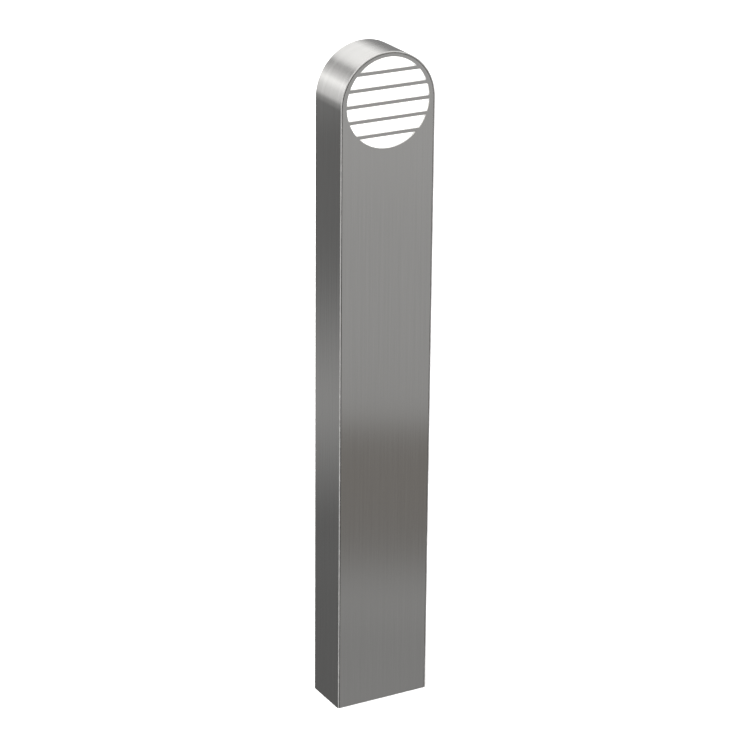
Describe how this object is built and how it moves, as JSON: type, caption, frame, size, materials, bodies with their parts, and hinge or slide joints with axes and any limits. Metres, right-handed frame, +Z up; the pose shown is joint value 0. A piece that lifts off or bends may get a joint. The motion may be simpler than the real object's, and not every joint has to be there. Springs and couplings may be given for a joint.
{
  "type": "bollard light",
  "caption": "Flat upright bollard light in brushed stainless steel with a half-round head, a round louvred window and a screwed rear cover.",
  "frame": {"origin": "centre of the footprint, on the ground", "axes": "+Z up along the column, -Y out of the window, +Y out of the rear cover, +X to the right seen from the front"},
  "size_m": [0.15, 0.075, 0.9999],
  "materials": {
    "band_steel": "brushed stainless steel, grain along the band",
    "panel_steel": "brushed stainless steel, grain upright",
    "plain_steel": "mill-finish stainless steel",
    "zinc_steel": "bright zinc-plated steel",
    "galvanised": "hot-dip galvanised steel, matt",
    "weld": "brushed-off weld",
    "seal_rubber": "black EPDM, matt",
    "opal": "opal acrylic, satin",
    "tray_white": "white powder coat",
    "porcelain": "glazed porcelain",
    "brass": "plain brass",
    "lamp_metal": "nickel-plated screw cap",
    "lamp_black": "black glass insulator",
    "lamp_white": "white moulded plastic",
    "board": "white-masked aluminium board",
    "gland_grey": "grey polyamide",
    "box_grey": "light grey polycarbonate",
    "terminal_white": "natural polyamide",
    "lead_black": "black rubber sheath",
    "earth_green": "green and yellow insulation"
  },
  "bodies": {
    "housing": {"side_band": "band_steel", "front_panel": "panel_steel", "weld_beads": "weld", "panel_studs": "plain_steel", "crown_clip": "plain_steel", "rear_lugs": "plain_steel", "lug_nuts": "plain_steel", "window_seal": "seal_rubber", "diffuser": "opal", "tray_seal": "seal_rubber", "lamp_tray": "tray_white", "tray_nuts": "plain_steel", "holder_bracket": "zinc_steel", "bracket_rivets": "zinc_steel", "lamp_holder": "porcelain", "holder_shell": "brass", "holder_contact": "brass", "holder_screws": "zinc_steel", "tray_gland_body": "gland_grey", "tray_gland_cap": "gland_grey", "tray_gland_nut": "gland_grey", "foot_channel": "galvanised", "foot_studs": "plain_steel", "foot_nuts": "plain_steel", "cable_grommet": "seal_rubber", "gear_plate": "galvanised", "gear_spacers": "plain_steel", "gear_nuts": "plain_steel", "box_base": "box_grey", "box_seal": "seal_rubber", "box_lid": "box_grey", "box_lid_screws": "plain_steel", "box_fixings": "zinc_steel", "box_gland_bodies": "gland_grey", "box_gland_caps": "gland_grey", "box_gland_nuts": "gland_grey", "gland_seals": "seal_rubber", "terminal_block": "terminal_white", "terminal_screws": "brass", "earth_stud": "brass", "earth_nuts": "brass", "earth_lug": "plain_steel", "earth_lead": "earth_green", "lamp_lead": "lead_black", "lead_clips": "terminal_white"},
    "rear_cover": {"rear_cover": "panel_steel", "cover_screws": "plain_steel"},
    "lamp": {"lamp_cap": "lamp_metal", "lamp_insulator": "lamp_black", "lamp_contact": "lamp_metal", "lamp_body": "lamp_white", "lamp_globe": "opal", "led_board": "board"}
  },
  "joints": [
    {"name": "cover_off", "type": "slide", "parent": "housing", "child": "rear_cover", "axis": [0, 1, 0], "range_m": [0, 0.1]},
    {"name": "lamp_turn", "type": "hinge", "parent": "housing", "child": "lamp", "pos_m": [0, -0.00275, 0.87], "axis": [0, 0, 1], "range_deg": [0, 1080]}
  ]
}
